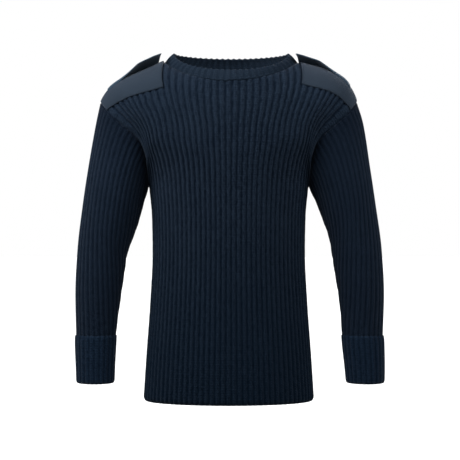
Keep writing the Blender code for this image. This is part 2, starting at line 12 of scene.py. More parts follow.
import bmesh
import bpy
import numpy as np
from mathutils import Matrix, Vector

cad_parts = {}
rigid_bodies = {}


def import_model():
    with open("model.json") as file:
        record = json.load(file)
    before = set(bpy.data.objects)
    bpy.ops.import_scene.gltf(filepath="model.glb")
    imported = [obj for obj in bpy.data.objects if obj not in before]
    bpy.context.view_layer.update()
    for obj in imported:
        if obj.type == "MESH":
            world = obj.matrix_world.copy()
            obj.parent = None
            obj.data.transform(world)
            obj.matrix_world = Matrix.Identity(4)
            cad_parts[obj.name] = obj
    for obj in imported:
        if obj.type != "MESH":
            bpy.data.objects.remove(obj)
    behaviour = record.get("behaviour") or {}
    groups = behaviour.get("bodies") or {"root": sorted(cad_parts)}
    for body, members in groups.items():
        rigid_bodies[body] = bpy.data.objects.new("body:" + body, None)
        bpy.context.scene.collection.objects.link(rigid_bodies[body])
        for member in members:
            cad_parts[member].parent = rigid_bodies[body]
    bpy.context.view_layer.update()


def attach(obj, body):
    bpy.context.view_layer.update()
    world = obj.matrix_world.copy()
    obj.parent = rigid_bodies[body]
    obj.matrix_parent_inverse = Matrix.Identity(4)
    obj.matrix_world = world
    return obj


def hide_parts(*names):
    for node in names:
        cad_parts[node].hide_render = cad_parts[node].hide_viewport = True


def table(columns, rows):
    """A short table with named columns."""
    row_type = namedtuple("Row", columns)
    return tuple(row_type(*row) for row in rows)


# --- the solids' tables ---

RIBBED_WALL = 0.0036
SEAM_GAP = 0.0003
PANEL_RIBS = 41
SLEEVE_RIBS = 40
CUFF_RIBS = 24
COLLAR_RIBS = 54

TORSO = table("height half_width front back", (
    (-0.6950, 0.1755, 0.1160, 0.1090),
    (-0.5950, 0.1688, 0.1120, 0.1020),
    (-0.4950, 0.1615, 0.1070, 0.0950),
    (-0.3900, 0.1567, 0.1040, 0.0940),
    (-0.3200, 0.1580, 0.1040, 0.0980),
    (-0.2600, 0.1635, 0.1050, 0.1010),
))
HEM, UNDERARM = TORSO[0], TORSO[-1]

CHEST = table("rise front back ribs spread", (
    (0.00, UNDERARM.front, UNDERARM.back, 41, 1.300),
    (0.20, 0.1075, 0.1045, 41, 1.350),
    (0.40, 0.1090, 0.1060, 39, 1.335),
    (0.60, 0.1075, 0.1035, 39, 1.300),
    (0.80, 0.1040, 0.0990, 39, 1.190),
    (1.00, 0.0960, 0.0860, 39, 1.034),
))
STRAP_RISE = 0.972
DOME_POWER = 3.0
SPREAD_POWER = 8.0
UNDERARM_POWER = 12.0
EDGE_POWER = 3.0
FOLD_RISE = 0.42
CHEST_ROUNDNESS = 0.35
FLANK_POWER = 5.0

ARMHOLE = table("height reach depth", (
    (-0.2600, 0.1635, 0.044),
    (-0.2450, 0.1642, 0.045),
    (-0.2100, 0.1668, 0.048),
    (-0.1780, 0.1750, 0.054),
    (-0.1580, 0.1880, 0.060),
    (-0.1410, 0.2070, 0.066),
    (-0.1080, 0.2460, 0.072),
    (-0.0890, 0.2635, 0.072),
))
ARMHOLE_CENTRE = (0.185, 0.0, -0.175)

SHOULDER = table("reach left right", (
    (0.1345, 0.0005, 0.0020),
    (0.1570, 0.0075, 0.0130),
    (0.1880, 0.0155, 0.0262),
    (0.2140, 0.0255, 0.0370),
    (0.2350, 0.0385, 0.0500),
    (0.2480, 0.0545, 0.0630),
    (0.2570, 0.0710, 0.0760),
    (0.2635, 0.0890, 0.0890),
))

NECK_SHIFT = 0.0050
NECK_HALF_WIDTH = 0.1345
NECK_FRONT_DROP = 0.0450
NECK_BACK_DROP = 0.0100
NECK_ROUNDNESS = 1.5
NECK_UP_AT_SIDES = 0.86
NECK_UP_IN_MIDDLE = 0.50
BAND_HALF_WIDTH = 0.1166
BAND_TOP = 0.0144
BAND_FRONT = 0.0840
BAND_BACK = 0.0760
BAND_FRONT_DROP = 0.0410
BAND_BACK_DROP = 0.0040
BAND_ROUNDNESS = 0.95
BAND_BULGE = 0.0015

OUTER_EDGE = table("height left right", (
    (-0.0890, 0.2635, 0.2635),
    (-0.1296, 0.2755, 0.2720),
    (-0.2157, 0.2888, 0.2870),
    (-0.2900, 0.2997, 0.2980),
    (-0.3880, 0.3124, 0.3091),
    (-0.4740, 0.3167, 0.3130),
    (-0.5615, 0.3139, 0.3110),
))
INNER_EDGE = table("height left right", (
    (-0.2600, 0.1635, 0.1635),
    (-0.3018, 0.1827, 0.1761),
    (-0.3264, 0.1917, 0.1825),
    (-0.3510, 0.2011, 0.1907),
    (-0.3756, 0.2073, 0.1999),
    (-0.4002, 0.2109, 0.2079),
    (-0.4248, 0.2144, 0.2112),
    (-0.4986, 0.2253, 0.2214),
    (-0.5615, 0.2302, 0.2296),
))
SLEEVE = table("share front back ribs", (
    (0.00, 0.072, 0.072, 40.0),
    (0.05, 0.071, 0.070, 40.0),
    (0.12, 0.070, 0.068, 39.0),
    (0.21, 0.068, 0.064, 37.5),
    (0.32, 0.066, 0.059, 35.0),
    (0.44, 0.065, 0.053, 32.5),
    (0.56, 0.064, 0.046, 30.0),
    (0.70, 0.063, 0.036, 27.5),
    (0.85, 0.061, 0.026, 25.5),
    (1.00, 0.059, 0.019, 24.0),
))
CAP_SHARE, CAP_POWER = 0.36, 2

CUFF = table("height outer_left inner_left outer_right inner_right", (
    (-0.5618, 0.3158, 0.2290, 0.3132, 0.2280),
    (-0.5720, 0.3172, 0.2296, 0.3138, 0.2284),
    (-0.6280, 0.3182, 0.2356, 0.3118, 0.2314),
    (-0.6590, 0.3178, 0.2385, 0.3108, 0.2324),
))
CUFF_FRONT = 0.061
CUFF_BACK = 0.019

PatchSpan = namedtuple("PatchSpan", "side inner_rib")
PATCHES = {"left": PatchSpan(1, 10.5), "right": PatchSpan(-1, 9.5)}
PATCH_OUTER_RIB = 19.35
PATCH_EDGE = table("rib left right", (
    (9.5, 0.812, 0.772),
    (13.0, 0.804, 0.790),
    (16.0, 0.811, 0.801),
    (18.0, 0.838, 0.836),
    (19.35, 0.892, 0.892),
))
STRAP = table("rib left_lift right_lift", (
    (10, 0.0186, 0.0217),
    (11, 0.0175, 0.0212),
    (12, 0.0165, 0.0208),
    (13, 0.0150, 0.0195),
    (14, 0.0096, 0.0128),
    (15, 0.0038, 0.0052),
    (16, 0.0006, 0.0006),
    (17, 0.0000, 0.0000),
    (18, 0.0000, 0.0000),
))
STRAP_END_SKEW = 0.005

FRONT, BACK = -1, 1
SIDES = {"left": 1, "right": -1}

# --- what the scene adds: finer rows, rounder ribs, seams and creases ---

RIB_RELIEF = 0.0024
INNER_RELIEF = 0.0010
# One rib from valley to valley: where each column stands, and how far down from the rib's top
RIB_PROFILE = table("place depth", (
    (0.00, 1.00),
    (0.11, 0.94),
    (0.23, 0.66),
    (0.36, 0.20),
    (0.50, 0.00),
    (0.64, 0.20),
    (0.77, 0.66),
    (0.89, 0.94),
))
INNER_EVERY = 4
# Each rib's valleys run deeper and shallower along its length, out of step with its neighbours'
UNEVEN, UNEVEN_LENGTH, UNEVEN_TURN = 0.20, 0.023, 0.381
# How far down the sleeve its head swells beside the armhole, which is further than in the solid
SWELL_SHARE, SWELL_POWER = 0.20, 2.6
TORSO_ROWS = 76
CHEST_ROWS = 84
SLEEVE_ROWS = 132
CUFF_ROWS = 22
BAND_ROWS = 9
ROUND_ROWS = 6
SEAM_BLEND_RIBS = 0.8
SEAM_BLEND_RISE = 0.07
TOP_BLEND_RISE = 0.0175
SEAM_BLEND_SHARE = 0.03
BAND_BLEND_ROWS = 0.25 * (BAND_ROWS - 1)
SEAM_SINK = 0.75
TOP_SINK = 1.00
SHOULDER_SINK = 0.05
SLEEVE_RELIEF = 0.60
COLLAR_RELIEF, COLLAR_FOLD_RELIEF = 0.45, 0.80
CUFF_RELIEF, CUFF_FOLD_RELIEF = 0.55, 0.12
BAND_OVERLAP = 0.10
# The scalloped fold's ribs stand a little above the solid's edge
BAND_LIFT = 0.0022
SHOULDER_RIBS = 8
RISE_STEP = 0.001
RIB_STEP = 0.02
# The hem and the cuffs end in a round fold, the hem a little below the solids' edge
HEM_DROP, HEM_ROLL, HEM_ROLL_HEIGHT = 0.0022, 0.0095, 0.0120
CUFF_ROLL, CUFF_ROLL_HEIGHT = 0.0042, 0.0080
ROLL_ROWS_POWER = 1.4
FOLDED_WALL = 0.0046
START_BULGE = 0.6
CUFF_TUCK, TUCK_SHARE = 0.004, 0.02

PATCH_ROWS = 96
PATCH_COLUMNS = 60
STRAP_ROWS = 24
STRAP_COLUMNS = 60
PATCH_RAISE = 0.0016
UNDERSIDE_DROP = 0.0003
STRAP_CLEARANCE = 0.0002
EDGE_CROWDING = 0.5
EDGE_ROUND = 0.0014
STITCH_INSET = 0.0032
STITCH_DIP, STITCH_DIP_WIDTH = 0.0005, 0.0009
STITCH_PITCH = 0.0030
STITCH_LENGTH = 0.0022
STITCH_RADIUS = 0.00034
STITCH_SIDES = 5
# The thread dives into the cloth at both ends of a stitch: where along it, and its share of the radius
STITCH_RINGS = table("place radius", (
    (0.00, 0.35),
    (0.25, 1.00),
    (0.75, 1.00),
    (1.00, 0.35),
))

CURVE_STEPS = 720

# --- knit, cloth and light ---

STITCH_COURSE = 0.0050
TWILL_PITCH = 0.0011
THREAD_PITCH = 0.0005
KNIT_ROUGHNESS, CLOTH_ROUGHNESS, SHEEN_ROUGHNESS = 0.88, 0.80, 0.45
GLOSS = 0.01
# Noise patterns: how many to a metre, how finely detailed, and how much each changes the shade
NoisePattern = namedtuple("NoisePattern", "scale detail amount")
KNIT_GRAIN = NoisePattern(14.0, 3.0, 0.30)
KNIT_BLOTCHES = NoisePattern(230.0, 1.0, 1.90)
KNIT_FUZZ = NoisePattern(900.0, 2.0, 0.35)
CLOTH_GRAIN = NoisePattern(26.0, 3.0, 0.55)
CLOTH_FUZZ = NoisePattern(1200.0, 2.0, 0.30)
# A stitch: its legs' slant and waver in courses, and how high it stands at its lowest and at its sides
RIDGE_POWER, WALES_TO_A_RIB, LEG_POWER = 2.6, 3.0, 2.0
LEG_SLANT, LEG_WAVER = 0.42, 0.6
LEG_LOW, WALE_SIDE = 0.20, 0.35
RIDGE_SHADE, STITCH_SHADE = 0.42, 0.70
TWILL_SLOPE, TWILL_SHARE, WEAVE_SHADE = 1.4, 0.65, 0.45
# How much the bump shows, how high it stands, and the fuzz's share of it
Bump = namedtuple("Bump", "strength height fuzz")
KNIT_BUMP = Bump(0.75, 0.0014, 0.35)
CLOTH_BUMP = Bump(0.5, 0.00025, 0.3)
KNIT_SHEEN, KNIT_SHEEN_TINT = 0.015, (0.55, 0.65, 0.85)
CLOTH_SHEEN, CLOTH_SHEEN_TINT = 0.03, (0.75, 0.82, 1.00)
# Each knit's ridge colour, then its valley colour, which is painted shade in the rib valleys
KNIT_RIDGE = (0.0029, 0.0051, 0.0088)
KNIT_SHADED_VALLEY = (0.0004, 0.0012, 0.0028)
SLEEVE_RIDGE = (0.0020, 0.0037, 0.0068)
SLEEVE_SHADED_VALLEY = (0.0005, 0.0013, 0.0029)
CUFF_RIDGE = (0.0020, 0.0044, 0.0086)
CUFF_SHADED_VALLEY = (0.0005, 0.0016, 0.0037)
# The collar's pair is the sleeves' made lighter: painted light, mostly for the band's inside, which lies in
# shade; its valley is still painted shade
LIGHTENED_COLLAR_RIDGE = (0.0025, 0.0044, 0.0074)
LIGHTENED_COLLAR_SHADED_VALLEY = (0.0014, 0.0027, 0.0049)
# Painted shade near a knit's first row: its colour, over what length it fades out, and the share of the
# knit's own colour at that row
PaintedShadeStart = namedtuple("PaintedShadeStart", "colour length worn_share")
# Painted shade up from the hem: the lower body darker and bluer, as the light falls off downwards
HEM_PAINTED_SHADE = PaintedShadeStart((0.0001, 0.0015, 0.0037), 0.46, 0.55)
# Painted shade down from the armhole: the sleeve's head darker in the fold by the body
ARMHOLE_PAINTED_SHADE = PaintedShadeStart((0.0002, 0.0007, 0.0018), 0.11, 0.50)
PATCH_LIGHT = (0.0050, 0.0075, 0.0112)
PATCH_DARK = (0.0029, 0.0046, 0.0070)
# The strap's cloth is the patch's made lighter: painted light on the strap's shaded underside, which faces
# forward
LIGHTENED_STRAP_LIGHT = (0.0078, 0.0138, 0.0208)
LIGHTENED_STRAP_DARK = (0.0038, 0.0073, 0.0120)
THREAD_LIGHT = (0.0040, 0.0062, 0.0096)
THREAD_DARK = (0.0016, 0.0026, 0.0044)

FLOOR_HEIGHT = -1.05
FLOOR_HALF_SIZE = 40.0
FLOOR_NEAR, FLOOR_FAR = 0.9, 1.9
# Under the sweater the floor is grey, a painted shadow; far off it is pale
FLOOR_PAINTED_SHADOW, FLOOR_PALE = 0.28, 0.90
FLOOR_GLOW, FLOOR_ROUGHNESS = 0.50, 0.9
# The room is white round the sides and the back, and dimmer behind the camera
WORLD_FRONT, WORLD_ROUND = 0.35, 1.0
WORLD_FRONT_FROM, WORLD_ROUND_FROM = -0.80, -0.10
LIGHTS = table("name position target size power", (
    ("key", (-0.95, -0.68, 0.62), (0.0, -0.05, 0.05), 0.9, 118),
    ("back", (0.5, 2.0, 1.0), (0.0, 0.05, -0.30), 1.4, 150),
    ("fill", (0.95, -0.68, 0.62), (0.0, -0.05, 0.05), 0.9, 62),
))
CAMERA_PLACE = (0.0025, -3.5, -0.347)
CAMERA_SENSOR = 36.0
FRAME_WIDTH = 0.943


# --- curves and directions ---


def curve_through(places, values):
    """A smooth curve through a table's values, with no overshoot between its rows."""
    places = np.asarray(places, float)
    values = np.asarray(values, float)
    if places[0] > places[-1]:
        places, values = places[::-1], values[::-1]
    slopes = np.diff(values) / np.diff(places)
    tangents = np.zeros_like(values)
    tangents[0], tangents[-1] = slopes[0], slopes[-1]
    same_way = slopes[:-1] * slopes[1:] > 0
    mean = 2 * slopes[:-1] * slopes[1:] / np.where(same_way, slopes[:-1] + slopes[1:], 1)
    tangents[1:-1] = np.where(same_way, mean, 0)

    def value_at(place):
        place = np.clip(place, places[0], places[-1])
        k = np.clip(np.searchsorted(places, place) - 1, 0, len(places) - 2)
        width = places[k + 1] - places[k]
        t = (place - places[k]) / width
        rise = (3 - 2 * t) * t * t
        start = t * (1 - t) ** 2 * width
        end = t * t * (t - 1) * width
        return values[k] * (1 - rise) + values[k + 1] * rise + start * tangents[k] + end * tangents[k + 1]

    return value_at


def column_curve(table, place, column):
    return curve_through([getattr(row, place) for row in table], [getattr(row, column) for row in table])


TORSO_WIDTH = column_curve(TORSO, "height", "half_width")
TORSO_DEPTH = {FRONT: column_curve(TORSO, "height", "front"), BACK: column_curve(TORSO, "height", "back")}
ARMHOLE_REACH = column_curve(ARMHOLE, "height", "reach")
ARMHOLE_DEPTH = column_curve(ARMHOLE, "height", "depth")
CHEST_DEPTH = {FRONT: column_curve(CHEST, "rise", "front"), BACK: column_curve(CHEST, "rise", "back")}
CHEST_RIBS = column_curve(CHEST, "rise", "ribs")
CHEST_SPREAD = column_curve(CHEST, "rise", "spread")
SHOULDER_DROP = {side: column_curve(SHOULDER, "reach", side) for side in SIDES}
RIB_DEPTH = curve_through(
    [point.place for point in RIB_PROFILE] + [1.0],
    [point.depth for point in RIB_PROFILE] + [1.0],
)


def unit(vectors):
    vectors = np.asarray(vectors, float)
    return vectors / np.maximum(np.linalg.norm(vectors, axis=-1, keepdims=True), 1e-12)


def smooth_step(value):
    value = np.clip(value, 0, 1)
    return value * value * (3 - 2 * value)


def turned_to(directions, target, weight):
    """Directions turned part of the way to a target."""
    weight = np.asarray(weight)[..., None]
    return unit(directions * (1 - weight) + target * weight)


def lengths_along(points):
    """The length of cloth from the first row to each point, down every column."""
    steps = np.linalg.norm(np.diff(points, axis=0), axis=-1)
    return np.concatenate([np.zeros((1, points.shape[1])), np.cumsum(steps, axis=0)])


def run_along(line):
    """The length from a line's start to each of its points."""
    return lengths_along(line[:, None])[:, 0]


def even_shares(half_width, depth, shares):
    """Cosines of the angles that stand at even steps along half an ellipse, for shares from -1 to 1."""
    angles = np.linspace(0, math.pi, CURVE_STEPS + 1)
    steps = np.hypot(np.diff(half_width * np.cos(angles)), np.diff(depth * np.sin(angles)))
    length = np.concatenate([[0], np.cumsum(steps)])
    return np.cos(np.interp((1 - shares) / 2 * length[-1], length, angles))


def rib_places(ribs, closed):
    """Where the columns stand, counted in ribs."""
    places = [rib + point.place for rib in range(ribs) for point in RIB_PROFILE]
    return np.array(places if closed else places + [float(ribs)])


# --- meshes ---


def new_object(name, mesh, material):
    mesh.materials.append(material)
    mesh.shade_smooth()
    obj = bpy.data.objects.new(name, mesh)
    bpy.context.scene.collection.objects.link(obj)
    return obj


class Shell:
    """Gathers a piece's points and faces, and each corner's place in the knit: ribs across, metres along."""

    def __init__(self):
        self.points, self.faces, self.places = [], [], []
        self.count = 0

    def add_points(self, grid):
        """Adds a grid of points and gives back its table of point numbers."""
        numbers = self.count + np.arange(grid.shape[0] * grid.shape[1]).reshape(grid.shape[:2])
        self.points.append(grid.reshape(-1, 3))
        self.count += numbers.size
        return numbers

    def add_face(self, corners):
        self.faces.append([int(number) for number, _ in corners])
        self.places += [place for _, place in corners]

    def add_grid(self, numbers, across, along, closed=False, flip=False):
        """Joins a grid's points with faces. A closed grid's across has one value more than its columns."""
        if closed:
            numbers = np.concatenate([numbers, numbers[:, :1]], axis=1)
            along = np.concatenate([along, along[:, :1]], axis=1)
        places = np.stack([np.broadcast_to(across, numbers.shape), along], axis=-1)
        corners = (np.s_[:-1, :-1], np.s_[:-1, 1:], np.s_[1:, 1:], np.s_[1:, :-1])
        if flip:
            corners = corners[::-1]
        self.faces += np.stack([numbers[corner] for corner in corners], axis=-1).reshape(-1, 4).tolist()
        self.places += np.stack([places[corner] for corner in corners], axis=-2).reshape(-1, 2).tolist()

    def mesh(self, name):
        """The mesh, without the points that no face uses and the faces that closed up where columns meet."""
        faces, places, start = [], [], 0
        for face in self.faces:
            kept = [k for k, number in enumerate(face) if number != face[k - 1]]
            if len(kept) > 2:
                faces.append([face[k] for k in kept])
                places += [self.places[start + k] for k in kept]
            start += len(face)
        mesh = bpy.data.meshes.new(name)
        mesh.from_pydata(np.concatenate(self.points).tolist(), [], faces)
        layer = mesh.uv_layers.new(name="Knit")
        layer.uv.foreach_set("vector", np.array(places, np.float32).ravel())
        made = bmesh.new()
        made.from_mesh(mesh)
        loose = [point for point in made.verts if not point.link_faces]
        bmesh.ops.delete(made, geom=loose, context="VERTS")
        bmesh.ops.recalc_face_normals(made, faces=made.faces)
        made.to_mesh(mesh)
        made.free()
        return mesh


def ribbed_wall(name, base, inwards, ribs_down, across, stands_for, material, closed=False):
    """One knitted wall: ribs in its outer face, softer ones inside, and closed borders.

    base is the face at the rib tops, and ribs_down how far below it its points lie, in ribs' reliefs.
    stands_for names the column whose point is used, so that ribs can run out into a seam.
    """
    shell = Shell()
    along = lengths_along(base)
    rows, columns = base.shape[:2]
    picked = np.arange(0, columns, INNER_EVERY)
    raised = (1 - RIB_DEPTH(across[picked] % 1)) * INNER_RELIEF
    turns = along / UNEVEN_LENGTH + np.floor(across) * UNEVEN_TURN
    ribs_down = ribs_down * (1 + UNEVEN * np.sin(2 * math.pi * turns))
    inner_points = base[:, picked] + inwards[:, picked] * (RIBBED_WALL - INNER_RELIEF + raised)[None, :, None]
    outer = shell.add_points(base + inwards * (ribs_down * RIB_RELIEF)[..., None])
    inner = shell.add_points(inner_points)
    in_row = np.arange(rows)[:, None]
    outer = outer[in_row, stands_for]
    inner = inner[in_row, stands_for[:, picked] // INNER_EVERY]
    ends = np.append(across, across[-1] + across[1] - across[0]) if closed else across
    inner_ends = np.append(across[picked], ends[-1]) if closed else across[picked]
    shell.add_grid(outer, ends, along, closed)
    shell.add_grid(inner, inner_ends, along[:, picked], closed, flip=True)
    for i in (0, rows - 1):
        for k in range(len(picked) if closed else len(picked) - 1):
            start = picked[k]
            run = [(start + step) % columns for step in range(INNER_EVERY + 1)]
            corners = [(outer[i, j], (ends[start + step], along[i, j])) for step, j in enumerate(run)]
            after = (k + 1) % len(picked)
            corners.append((inner[i, after], (inner_ends[k + 1], along[i, run[-1]])))
            corners.append((inner[i, k], (inner_ends[k], along[i, start])))
            shell.add_face(corners)
    if not closed:
        for j, k in ((0, 0), (columns - 1, len(picked) - 1)):
            for i in range(rows - 1):
                low, high = (ends[j], along[i, j]), (ends[j], along[i + 1, j])
                outer_corners = [(outer[i, j], low), (outer[i + 1, j], high)]
                shell.add_face(outer_corners + [(inner[i + 1, k], high), (inner[i, k], low)])
    return new_object(name, shell.mesh(name), material)


def folded_ring(name, outer_face, inwards, round_start, across, reliefs, material):
    """A band of double rib, closed all round: up its outer face, over the fold and down inside.

    outer_face has a row for each place from one edge to the other, and the last edge is the fold.
    reliefs are the ribs' height on the faces and at the fold, as shares of a panel's.
    """
    half = FOLDED_WALL / 2
    along_fold = unit(outer_face[-1] - outer_face[-2])
    fold_inwards = inwards[-1]
    centre = outer_face[-1] + fold_inwards * half - along_fold * half
    rib_depths = (RIB_DEPTH(across % 1) * RIB_RELIEF)[:, None]
    relief, fold_relief = (rib_depths * share for share in reliefs)
    rows = [outer_face[:-1] + inwards[:-1] * relief]
    for step in range(ROUND_ROWS + 1):
        angle = math.pi * step / ROUND_ROWS
        outward = along_fold * math.sin(angle) - fold_inwards * math.cos(angle)
        depth = relief + (fold_relief - relief) * math.sin(angle)
        rows.append((centre + outward * (half - depth))[None])
    rows.append((outer_face[:-1] + inwards[:-1] * (FOLDED_WALL - relief))[::-1])
    if round_start:
        along_start = unit(outer_face[0] - outer_face[1])
        middle = outer_face[0] + inwards[0] * half
        rows.append((middle + along_start * (half - relief) * START_BULGE)[None])
    points = np.concatenate(rows)
    shell = Shell()
    numbers = shell.add_points(points)
    along = lengths_along(points)
    ends = np.append(across, across[-1] + across[1] - across[0])
    shell.add_grid(numbers, ends, along, closed=True)
    closing = np.stack([numbers[-1], numbers[0]])
    shell.add_grid(closing, ends, np.stack([along[-1], along[-1] + half]), closed=True)
    return new_object(name, shell.mesh(name), material)


# --- body panels ---


def torso_row(face, height, ribs):
    half_width, depth = TORSO_WIDTH(height), TORSO_DEPTH[face](height)
    cosines = even_shares(half_width, depth, 2 * ribs / PANEL_RIBS)
    sines = np.sqrt(np.maximum(0, 1 - cosines**2))
    return np.stack([half_width * cosines, face * depth * sines, np.full_like(cosines, height)], axis=-1)


def neck_share(x):
    """How far into the neck opening a point of the top edge lies: 0 at its sides and 1 in its middle."""
    t = (x - NECK_SHIFT) / NECK_HALF_WIDTH
    return np.maximum(0, 1 - t * t) ** (NECK_ROUNDNESS / 2)


def top_heights(face, x):
    """Heights of a panel's top edge: the shoulder ridges, and the neckline between them."""
    reach = np.abs(x)
    ridge = -np.where(x > 0, SHOULDER_DROP["left"](reach), SHOULDER_DROP["right"](reach))
    drop = NECK_FRONT_DROP if face == FRONT else NECK_BACK_DROP
    return ridge - drop * neck_share(x)


def rib_spread(shares, spread):
    """Where ribs stand across a row: spread out in the middle, by spread, and crowded by the arms."""
    crowding = spread**SPREAD_POWER - 1
    return spread * shares / (1 + crowding * np.abs(shares) ** SPREAD_POWER) ** (1 / SPREAD_POWER)


def chest_shares(rise, ribs):
    """Ribs from the middle as shares of half a row. Ribs past the armhole's seam stand in it."""
    return np.clip(2 * ribs / CHEST_RIBS(rise), -1, 1)


def chest_points(face, rise, ribs, across):
    """Points between the underarm (rise 0) and the shoulder and neckline (rise 1), across from -1 to 1."""
    edge_height = UNDERARM.height + rise * (ARMHOLE[-1].height - UNDERARM.height)
    edge_depth = ARMHOLE_DEPTH(edge_height) * np.sqrt(np.maximum(0, 1 - (2 * rise - 1) ** 2))
    depth = CHEST_DEPTH[face](rise)
    edge = edge_depth * np.abs(across) ** UNDERARM_POWER
    round_chest = np.hypot(depth * np.sqrt(np.maximum(0, 1 - across**2)), edge)
    flank = np.abs(chest_shares(rise, ribs)) ** FLANK_POWER
    turned = CHEST_ROUNDNESS * across**2 + (1 - CHEST_ROUNDNESS) * flank
    folded_chest = depth + (edge_depth - depth) * turned
    chest = round_chest + (folded_chest - round_chest) * smooth_step(rise / FOLD_RISE)
    top_x = ARMHOLE[-1].reach * rib_spread(chest_shares(1.0, ribs), CHEST_SPREAD(1.0))
    heights = UNDERARM.height + rise * (top_heights(face, top_x) - UNDERARM.height)
    dome = np.sqrt(np.maximum(0, 1 - rise**DOME_POWER))
    top_edge = np.maximum(depth * neck_share(top_x), edge_depth * np.abs(across) ** EDGE_POWER)
    depths = dome * chest + (1 - dome) * top_edge
    return np.stack([ARMHOLE_REACH(edge_height) * across, face * depths, heights], axis=-1)


def chest_row(face, rise, ribs):
    """A row of the chest. Just above the underarm its ribs still stand as evenly as the torso's."""
    shares = chest_shares(rise, ribs)
    reach = ARMHOLE_REACH(UNDERARM.height + rise * (ARMHOLE[-1].height - UNDERARM.height))
    even = even_shares(reach, CHEST_DEPTH[face](rise), shares)
    spread_out = rib_spread(shares, CHEST_SPREAD(rise))
    return chest_points(face, rise, ribs, even + (spread_out - even) * smooth_step(rise / FOLD_RISE))


def rolled_in(height, end_height, roll, roll_height):
    """How far the cloth turns in at a rounded end, at some heights above it."""
    t = np.clip(1 - (height - end_height) / roll_height, 0, 1)
    return roll * (1 - np.sqrt(1 - t * t))


def panel_levels():
    """A panel's rows: from -1 at the hem to 0 at the underarm, then on to 1, close together at both ends."""
    torso = np.linspace(0, 1, TORSO_ROWS, endpoint=False) ** ROLL_ROWS_POWER - 1
    turns = np.linspace(0, math.pi, CHEST_ROWS)
    return np.concatenate([torso, (1 - np.cos(turns)) / 2])


def panel_row(face, level, ribs):
    if level < 0:
        return torso_row(face, UNDERARM.height + level * (UNDERARM.height - HEM.height + HEM_DROP), ribs)
    return chest_row(face, level, ribs)


def neck_inwards(x, face):
    """The way through the wall at the neck seam, halfway between the panel's and the band's."""
    t = np.clip((x - NECK_SHIFT) / NECK_HALF_WIDTH, -1, 1)
    middle = np.sqrt(1 - t * t)
    up = NECK_UP_AT_SIDES + (NECK_UP_IN_MIDDLE - NECK_UP_AT_SIDES) * middle
    out = np.sqrt(1 - up**2)
    return -np.stack([out * t, face * out * middle, up], axis=-1)


def shoulder_inwards(face, top):
    ridge = unit(np.gradient(top, axis=0))
    over_shoulder = unit(np.stack([ridge[:, 2], 0 * ridge[:, 2], -ridge[:, 0]], axis=-1))
    in_neck = np.abs(top[:, 0] - NECK_SHIFT) < NECK_HALF_WIDTH
    return np.where(in_neck[:, None], neck_inwards(top[:, 0], face), over_shoulder)


def surface_inwards(face, points):
    across = np.gradient(points, axis=1)
    along = np.gradient(points, axis=0)
    return unit(np.cross(across, along) * face)


def panel_inwards(face, points, levels, from_seam):
    """The way through the wall at every point, shared with the neighbour at each seam."""
    inwards = surface_inwards(face, points)
    by_edge = smooth_step(1 - from_seam / SEAM_BLEND_RIBS)
    above = (levels >= 0)[:, None]
    outward_side = np.sign(points[..., :1])
    to_centre = unit(outward_side * (ARMHOLE_CENTRE[0], 0, 0) + (0, *ARMHOLE_CENTRE[1:]) - points)
    inwards = turned_to(inwards, to_centre, by_edge * above)
    inwards = turned_to(inwards, outward_side * (-1, 0, 0), by_edge * ~above)
    by_top = smooth_step(1 - (1 - levels) / SEAM_BLEND_RISE)
    by_top = np.tile(by_top[:, None], points.shape[1])
    return turned_to(inwards, shoulder_inwards(face, points[-1])[None], by_top)


def armhole_loop(side, panels):
    """The armhole seam's points from the underarm over the back to the shoulder, then down the front."""
    edge = -1 if side > 0 else 0
    up_the_back = panels[BACK][TORSO_ROWS:, edge]
    down_the_front = panels[FRONT][TORSO_ROWS:, edge][::-1]
    return np.concatenate([up_the_back[:-1], down_the_front])


def panel_grids():
    """The panels' faces at the rib tops, each point's ribs from the side seam, and the armholes' seams."""
    ribs = rib_places(PANEL_RIBS, closed=False) - PANEL_RIBS / 2
    levels = panel_levels()
    panels = {face: np.array([panel_row(face, level, ribs) for level in levels]) for face in (FRONT, BACK)}
    ribs_in_row = np.where(levels < 0, PANEL_RIBS, CHEST_RIBS(levels))
    from_seam = np.maximum(0, ribs_in_row[:, None] / 2 - np.abs(ribs))
    loops = {name: armhole_loop(side, panels) for name, side in SIDES.items()}
    return levels, from_seam, panels, loops


def build_panel(face, levels, from_seam, points, material):
    inwards = panel_inwards(face, points, levels, from_seam)
    across = rib_places(PANEL_RIBS, closed=False)
    heights = points[..., 2]
    roll = rolled_in(heights, HEM.height - HEM_DROP, HEM_ROLL, HEM_ROLL_HEIGHT)
    by_top = smooth_step(1 - (1 - levels) / TOP_BLEND_RISE)[:, None]
    by_seam = SEAM_SINK * smooth_step(1 - from_seam / SEAM_BLEND_RIBS)
    down = np.maximum(RIB_DEPTH(across % 1), by_seam)
    down = down + (TOP_SINK - down) * by_top
    columns = np.arange(len(across))
    edge_column = np.where(columns < len(across) / 2, 0, len(across) - 1)
    stands_for = np.where(from_seam > 0, columns, edge_column)
    name = "front" if face == FRONT else "back"
    base = points + inwards * roll[..., None]
    return ribbed_wall(f"{name}_panel", base, inwards, down, across, stands_for, material)


# --- sleeves and cuffs ---


def ellipse_ring(side, outer, inner, front, back, angles):
    """A ring through an outer and an inner point (x, z), with its depth in front and behind."""
    outer, inner = np.asarray(outer), np.asarray(inner)
    middle, half = (outer + inner) / 2, (outer - inner) / 2
    plan = middle + np.cos(angles)[:, None] * half
    y = (back - front) / 2 - (back + front) / 2 * np.sin(angles)
    return np.stack([side * plan[:, 0], y, plan[:, 1]], axis=-1)


def tube_inwards(points):
    across = (np.roll(points, -1, axis=1) - np.roll(points, 1, axis=1)) / 2
    along = np.gradient(points, axis=0)
    towards = points.mean(axis=1, keepdims=True) - points
    inwards = unit(np.cross(along, across))
    flip = np.sign(np.sum(inwards * towards, axis=-1, keepdims=True))
    return inwards * np.where(flip == 0, 1, flip)


def point_down(edge, reach_at, share):
    """The reach and the height at a share of the way down a sleeve's edge."""
    height = edge[0].height + share * (edge[-1].height - edge[0].height)
    return reach_at(height), height


